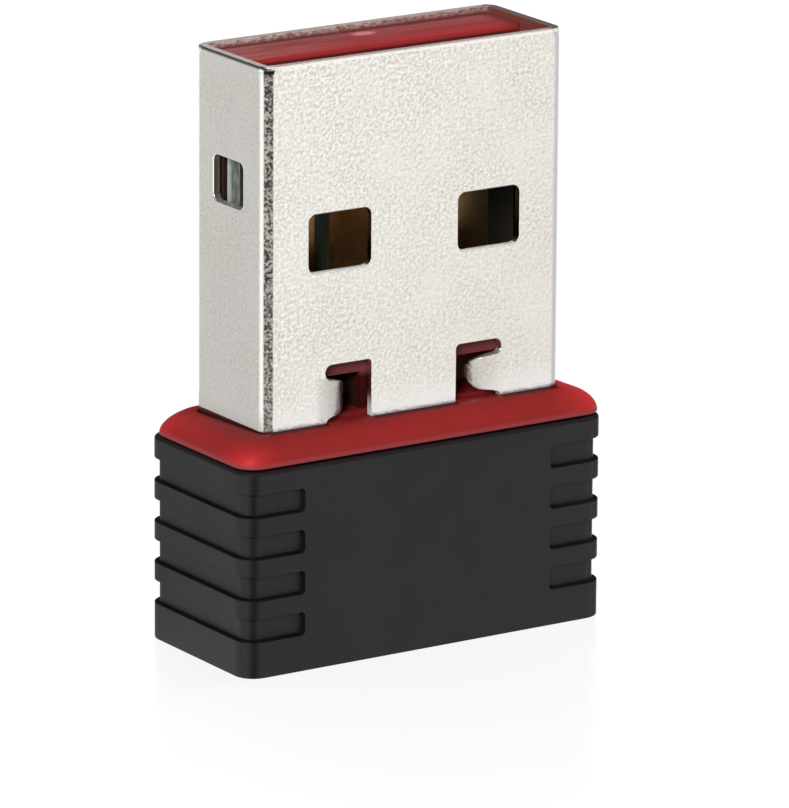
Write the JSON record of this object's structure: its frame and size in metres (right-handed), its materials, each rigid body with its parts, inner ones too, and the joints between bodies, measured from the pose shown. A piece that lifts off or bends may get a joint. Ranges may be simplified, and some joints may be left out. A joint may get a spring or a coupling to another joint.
{
  "type": "usb wifi adapter",
  "caption": "Compact plug-in wireless network adapter: metal USB type A plug shell with latch windows on a red carrier collar, snapped into a short black housing with grip grooves at both ends.",
  "frame": {"origin": "centre of the housing's closed end, which the adapter stands on", "axes": "+Z from the closed end to the plug's mouth, +X along the width, and the contacts face -Y"},
  "size_m": [0.0146, 0.0064, 0.0208],
  "materials": {
    "black_plastic": "fine matte moulded black",
    "red_plastic": "satin moulded red",
    "nickel_steel": "nickel plate with a fine pebbled surface",
    "board_laminate": "green solder mask over glass laminate",
    "gold_plating": "thin gold plate",
    "copper": "lacquered copper",
    "chip_epoxy": "matte moulded epoxy",
    "tin_plating": "dull tin",
    "tan_ceramic": "fired ceramic",
    "ferrite": "dark sintered ferrite",
    "white_ceramic": "white fired ceramic"
  },
  "bodies": {
    "root": {"housing_cap": "black_plastic", "plug_carrier": "red_plastic", "plug_shell": "nickel_steel", "circuit_board": "board_laminate", "power_contact": "gold_plating", "data_minus_contact": "gold_plating", "data_plus_contact": "gold_plating", "ground_contact": "gold_plating", "aerial_trace": "copper", "radio_chip": "chip_epoxy", "radio_chip_pads": "tin_plating", "crystal_base": "tan_ceramic", "crystal_lid": "nickel_steel", "power_inductor": "ferrite", "inductor_caps": "tin_plating", "voltage_regulator": "chip_epoxy", "regulator_leads": "tin_plating", "aerial_filter": "white_ceramic", "aerial_filter_caps": "tin_plating", "capacitors": "tan_ceramic", "capacitor_caps": "tin_plating", "resistors": "chip_epoxy", "resistor_caps": "tin_plating"}
  },
  "joints": []
}
